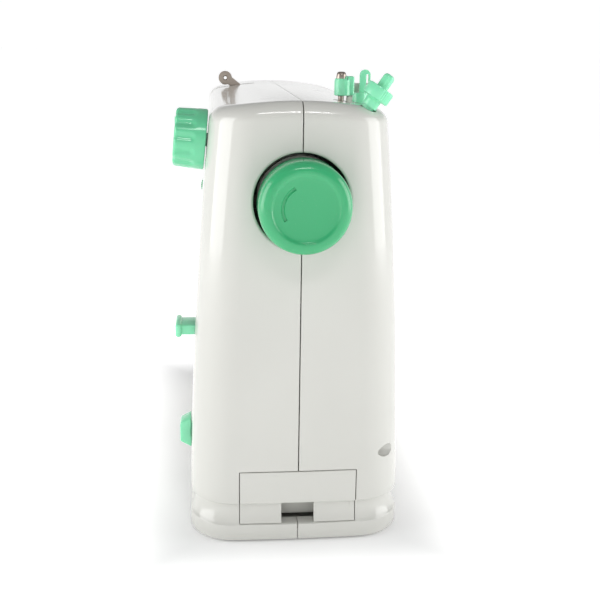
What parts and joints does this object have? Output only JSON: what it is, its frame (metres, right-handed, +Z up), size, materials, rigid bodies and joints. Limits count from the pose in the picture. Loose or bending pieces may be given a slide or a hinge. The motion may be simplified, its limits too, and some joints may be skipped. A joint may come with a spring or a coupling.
{
  "type": "sewing machine",
  "caption": "Compact electric sewing machine with a bed, throat, handwheel, accessory drawer, stitch controls, needle, presser foot and its working train inside a two-part case.",
  "frame": {"origin": "on the table, under the middle of the whole object", "axes": "+X along the machine towards the handwheel end, +Y away from the operator, +Z up"},
  "size_m": [0.313, 0.1396, 0.2808],
  "materials": {
    "case_white": "glossy ivory-white moulding",
    "base_white": "fine-textured moulding",
    "rubber": "soft grey-black rubber",
    "steel": "bright nickel-plated steel",
    "polished_steel": "ground and polished steel",
    "cast_frame": "as-cast, bead-blasted",
    "bronze": "sintered bronze",
    "motor_can": "zinc-plated dark can",
    "belt_rubber": "moulded belt rubber",
    "clear_lens": "frosted clear plastic",
    "black_plastic": "black nylon",
    "mint_plastic": "glossy mint-green moulding",
    "inner_plastic": "unpainted white nylon or acetal"
  },
  "bodies": {
    "case": {"front_shell": "case_white", "rear_shell": "case_white", "base_plate": "base_white", "rubber_feet": "rubber", "case_screws": "steel", "inner_frame": "cast_frame", "shaft_bushes": "bronze", "motor": "motor_can", "drive_belt": "belt_rubber", "timing_belt": "belt_rubber", "needle_plate": "polished_steel", "plate_screws": "steel", "hook_race": "cast_frame", "bobbin_case": "polished_steel", "lamp_lens": "clear_lens", "power_socket": "black_plastic", "switch_housing": "black_plastic", "lever_pin": "steel", "lever_spring": "steel", "tension_discs": "steel", "thread_guide": "mint_plastic", "guide_plate": "steel", "winder_stopper": "mint_plastic", "spool_base": "mint_plastic", "presser_spring": "steel"},
    "handwheel": {"handwheel": "mint_plastic", "main_shaft": "steel", "shaft_pulley": "inner_plastic", "upper_timing_pulley": "inner_plastic", "crank_disc": "cast_frame"},
    "motor_rotor": {"motor_pulley": "steel"},
    "lower_shaft": {"lower_shaft": "steel", "lower_timing_pulley": "inner_plastic"},
    "needle_bar": {"needle_bar": "steel", "needle_clamp": "steel", "clamp_screw": "steel", "needle": "steel", "needle_link": "cast_frame"},
    "take_up": {"take_up_lever": "steel"},
    "hook": {"hook_shaft": "steel", "shuttle_hook": "polished_steel"},
    "bobbin": {"bobbin": "polished_steel"},
    "feed": {"feed_bar": "cast_frame", "feed_dog": "polished_steel"},
    "presser": {"presser_bar": "steel", "presser_foot": "steel", "foot_screw": "steel"},
    "lifter": {"presser_lifter": "inner_plastic"},
    "stitch_dial": {"pattern_dial": "mint_plastic", "pattern_cam": "inner_plastic"},
    "reverse_lever": {"reverse_lever": "mint_plastic"},
    "speed_switch": {"speed_switch": "mint_plastic"},
    "tension_dial": {"tension_dial": "mint_plastic"},
    "drawer": {"accessory_drawer": "case_white"},
    "hook_cover": {"hook_cover": "case_white"},
    "winder_carriage": {"winder_carriage": "inner_plastic"},
    "winder_spindle": {"winder_spindle": "mint_plastic", "winder_tyre": "rubber"},
    "spool_pin": {"spool_pin": "mint_plastic"}
  },
  "joints": [
    {"name": "handwheel_turn", "type": "hinge", "parent": "case", "child": "handwheel", "pos_m": [0.1355, 0.00435, 0.21], "axis": [1, 0, 0], "continuous": true},
    {"name": "motor_turn", "type": "hinge", "parent": "case", "child": "motor_rotor", "pos_m": [0.0955, -0.01765, 0.096], "axis": [1, 0, 0], "continuous": true},
    {"name": "lower_shaft_turn", "type": "hinge", "parent": "case", "child": "lower_shaft", "pos_m": [-0.0065, 0.00435, 0.053], "axis": [1, 0, 0], "continuous": true},
    {"name": "needle_bar_slide", "type": "slide", "parent": "case", "child": "needle_bar", "axis": [0, 0, 1], "range_m": [-0.03, 0]},
    {"name": "take_up_swing", "type": "hinge", "parent": "case", "child": "take_up", "pos_m": [-0.1035, -0.00165, 0.228], "axis": [1, 0, 0], "range_deg": [0, 50]},
    {"name": "hook_swing", "type": "hinge", "parent": "case", "child": "hook", "pos_m": [-0.1235, 0.00435, 0.053], "axis": [1, 0, 0], "range_deg": [0, 100]},
    {"name": "feed_slide", "type": "slide", "parent": "case", "child": "feed", "axis": [0, 1, 0], "range_m": [-0.003, 0]},
    {"name": "bobbin_spin", "type": "hinge", "parent": "case", "child": "bobbin", "pos_m": [-0.1365, 0.00435, 0.053], "axis": [1, 0, 0], "continuous": true},
    {"name": "presser_lift", "type": "hinge", "parent": "case", "child": "lifter", "pos_m": [-0.1265, 0.04935, 0.158], "axis": [0, -1, 0], "range_deg": [0, 80]},
    {"name": "presser_slide", "type": "slide", "parent": "case", "child": "presser", "axis": [0, 0, 1], "range_m": [0, 0.006], "deforming": ["presser_spring"]},
    {"name": "stitch_dial_turn", "type": "hinge", "parent": "case", "child": "stitch_dial", "pos_m": [0.0905, -0.04821, 0.24], "axis": [0, -0.9953, 0.0972], "range_deg": [0, 300]},
    {"name": "reverse_lever_press", "type": "hinge", "parent": "case", "child": "reverse_lever", "pos_m": [0.0905, -0.04565, 0.126], "axis": [1, 0, 0], "range_deg": [0, 10], "stiffness_Nm_per_rad": 0.4, "springref_deg": -5.73},
    {"name": "speed_switch_slide", "type": "slide", "parent": "case", "child": "speed_switch", "axis": [1, 0, 0], "range_m": [-0.004, 0.004]},
    {"name": "tension_dial_turn", "type": "hinge", "parent": "case", "child": "tension_dial", "pos_m": [-0.0955, -0.04153, 0.185], "axis": [1, 0, 0], "range_deg": [0, 300]},
    {"name": "drawer_slide", "type": "slide", "parent": "case", "child": "drawer", "axis": [1, 0, 0], "range_m": [0, 0.056]},
    {"name": "hook_cover_tilt", "type": "hinge", "parent": "case", "child": "hook_cover", "pos_m": [-0.1535, 0.00435, 0.02], "axis": [0, -1, 0], "range_deg": [0, 90]},
    {"name": "winder_engage", "type": "slide", "parent": "case", "child": "winder_carriage", "axis": [0, 1, 0], "range_m": [0, 0.003]},
    {"name": "winder_spin", "type": "hinge", "parent": "winder_carriage", "child": "winder_spindle", "pos_m": [0.0955, 0.03035, 0.27], "axis": [0, 0, 1], "continuous": true},
    {"name": "spool_pin_slide", "type": "slide", "parent": "case", "child": "spool_pin", "axis": [0, 0.5592, 0.829], "range_m": [0, 0.028]}
  ],
  "couplings": [
    {"joint": "motor_turn", "follows": "handwheel_turn", "ratio": 3.6667},
    {"joint": "lower_shaft_turn", "follows": "handwheel_turn", "ratio": 1},
    {"joint": "take_up_swing", "follows": "needle_bar_slide", "rad_per_m": -29.089},
    {"joint": "hook_swing", "follows": "needle_bar_slide", "rad_per_m": -58.177},
    {"joint": "feed_slide", "follows": "needle_bar_slide", "ratio": 0.1},
    {"joint": "presser_lift", "follows": "presser_slide", "rad_per_m": 232.7}
  ]
}
